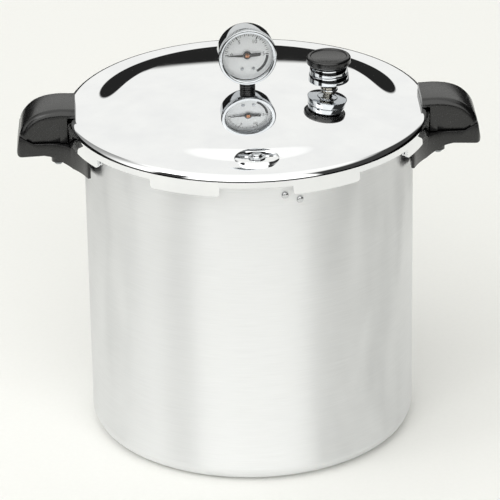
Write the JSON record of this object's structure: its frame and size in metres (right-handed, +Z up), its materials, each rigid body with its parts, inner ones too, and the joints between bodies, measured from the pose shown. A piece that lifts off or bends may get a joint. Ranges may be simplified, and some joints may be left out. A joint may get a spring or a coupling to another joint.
{
  "type": "pressure canner",
  "caption": "Stovetop pressure canner: deep aluminium pot, twist-lock lid with dial gauge, weighted regulator, cover lock and moulded side handles.",
  "frame": {"origin": "middle of the pot's underside, on the surface it stands on", "axes": "+Z up, +X towards the right handle, -Y towards the cover lock and the front of the dial"},
  "size_m": [0.4366, 0.3432, 0.3989],
  "materials": {
    "brushed_aluminium": "satin, brushed round the pot",
    "polished_aluminium": "mirror polished",
    "rivet_aluminium": "pressed, satin",
    "rack_aluminium": "pressed sheet, satin",
    "phenolic": "moulded, glossy black",
    "plated_steel": "zinc plated",
    "chrome": "mirror",
    "vent_metal": "nickel plated",
    "brass": "turned",
    "bronze": "drawn tube",
    "black_rubber": "moulded, matt",
    "lens_glass": "clear",
    "dial_enamel": "satin silver",
    "pointer_paint": "matt black"
  },
  "bodies": {
    "pot": {"pot_body": "brushed_aluminium", "locking_bracket": "plated_steel", "bracket_rivet_left": "rivet_aluminium", "bracket_rivet_right": "rivet_aluminium", "body_handle_left": "phenolic", "body_handle_right": "phenolic", "body_handle_strap_left": "plated_steel", "body_handle_strap_right": "plated_steel", "body_handle_screw_left": "plated_steel", "body_handle_screw_right": "plated_steel", "body_handle_nut_left": "plated_steel", "body_handle_nut_right": "plated_steel"},
    "rack": {"canning_rack": "rack_aluminium"},
    "seal": {"sealing_ring": "black_rubber"},
    "lid": {"lid_shell": "polished_aluminium", "cover_handle_left": "phenolic", "cover_handle_right": "phenolic", "cover_handle_strap_left": "plated_steel", "cover_handle_strap_right": "plated_steel", "cover_handle_screw_left": "plated_steel", "cover_handle_screw_right": "plated_steel", "cover_handle_nut_left": "plated_steel", "cover_handle_nut_right": "plated_steel", "vent_pipe": "vent_metal", "vent_pipe_nut": "brass", "overpressure_plug": "black_rubber", "cover_lock_gasket": "black_rubber", "gauge_stem": "phenolic", "gauge_washer": "plated_steel", "gauge_nut": "brass", "gauge_case": "chrome", "gauge_bezel": "chrome", "gauge_lens": "lens_glass", "gauge_dial": "dial_enamel", "dial_screw_left": "plated_steel", "dial_screw_right": "plated_steel", "movement_back_plate": "brass", "movement_front_plate": "brass", "movement_pillar_left": "brass", "movement_pillar_right": "brass", "sector_pin": "plated_steel", "bourdon_socket": "brass", "bourdon_tube": "bronze", "bourdon_link": "brass"},
    "cover_lock": {"cover_lock_pin": "plated_steel", "cover_lock_cap": "chrome"},
    "regulator": {"regulator_body": "chrome", "regulator_ring_upper": "chrome", "regulator_ring_lower": "chrome", "regulator_knob": "phenolic"},
    "sector": {"sector_gear": "brass"},
    "pointer": {"pointer_arbor": "brass", "gauge_pointer": "pointer_paint"}
  },
  "joints": [
    {"name": "rack_lift", "type": "slide", "parent": "pot", "child": "rack", "axis": [0, 0, -1], "range_m": [-0.25, 0]},
    {"name": "lid_lift", "type": "slide", "parent": "pot", "child": "seal", "axis": [0, 0, 1], "range_m": [0, 0.25]},
    {"name": "lid_turn", "type": "hinge", "parent": "seal", "child": "lid", "pos_m": [0, 0, 0.308], "axis": [0, 0, 1], "range_deg": [0, 22.5]},
    {"name": "cover_lock_rise", "type": "slide", "parent": "lid", "child": "cover_lock", "axis": [0, 0, 1], "range_m": [0, 0.006]},
    {"name": "regulator_lift", "type": "slide", "parent": "lid", "child": "regulator", "axis": [0, 0, 1], "range_m": [0, 0.06]},
    {"name": "sector_swing", "type": "hinge", "parent": "lid", "child": "sector", "pos_m": [0.00002, -0.0003, 0.3542], "axis": [0.075, -0.997, 0.0175], "range_deg": [0, 32], "stiffness_Nm_per_rad": 0.02},
    {"name": "pointer_spin", "type": "hinge", "parent": "lid", "child": "pointer", "pos_m": [0, 0, 0.3712], "axis": [0.075, -0.997, 0.0175], "range_deg": [-240, 0]}
  ],
  "couplings": [
    {"joint": "pointer_spin", "follows": "sector_swing", "ratio": -7.5}
  ]
}
